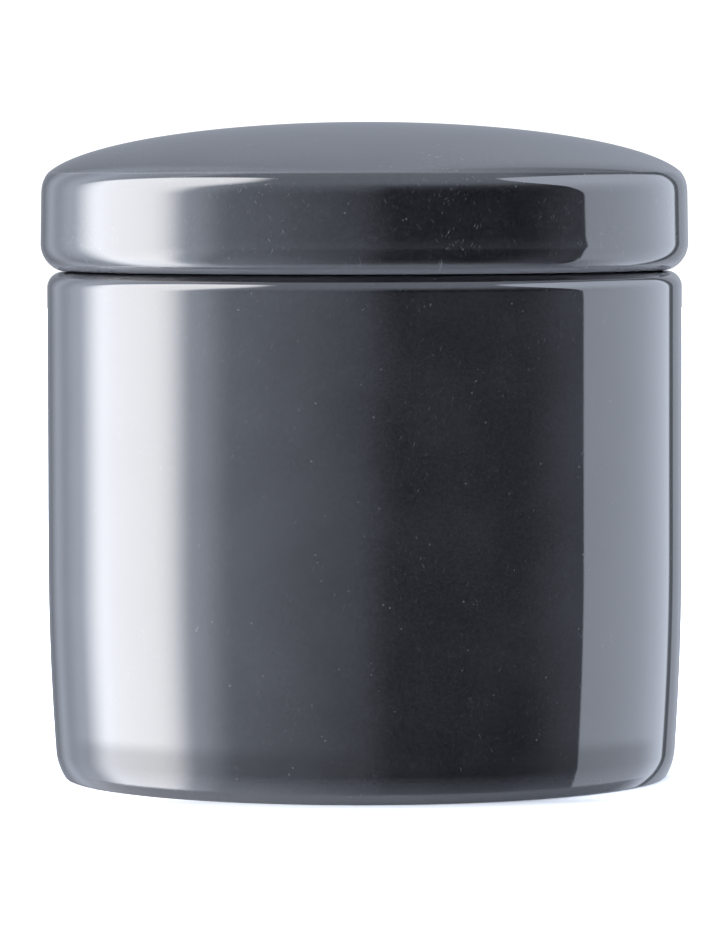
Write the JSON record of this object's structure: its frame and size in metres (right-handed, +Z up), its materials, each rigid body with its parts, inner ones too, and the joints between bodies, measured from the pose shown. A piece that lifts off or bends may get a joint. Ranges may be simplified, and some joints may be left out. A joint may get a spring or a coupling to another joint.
{
  "type": "sugar bowl",
  "caption": "Round lidded sugar bowl in dark grey gloss stoneware: straight-sided pot on a bare foot ring, with a shallow domed lift-off lid.",
  "frame": {"origin": "centre of the foot ring, on the table plane", "axes": "+Z up along the axis of the bowl; the part is a body of revolution, so +X and -Y (the front) are free choices"},
  "size_m": [0.09, 0.09, 0.0911],
  "materials": {
    "bowl_glaze": "gloss graphite glaze, bare on the foot ring",
    "lid_glaze": "gloss graphite glaze"
  },
  "bodies": {
    "bowl": {"bowl": "bowl_glaze"},
    "lid": {"lid": "lid_glaze"}
  },
  "joints": [
    {"name": "lid_lift", "type": "slide", "parent": "bowl", "child": "lid", "axis": [0, 0, 1], "range_m": [0, 0.06]}
  ]
}
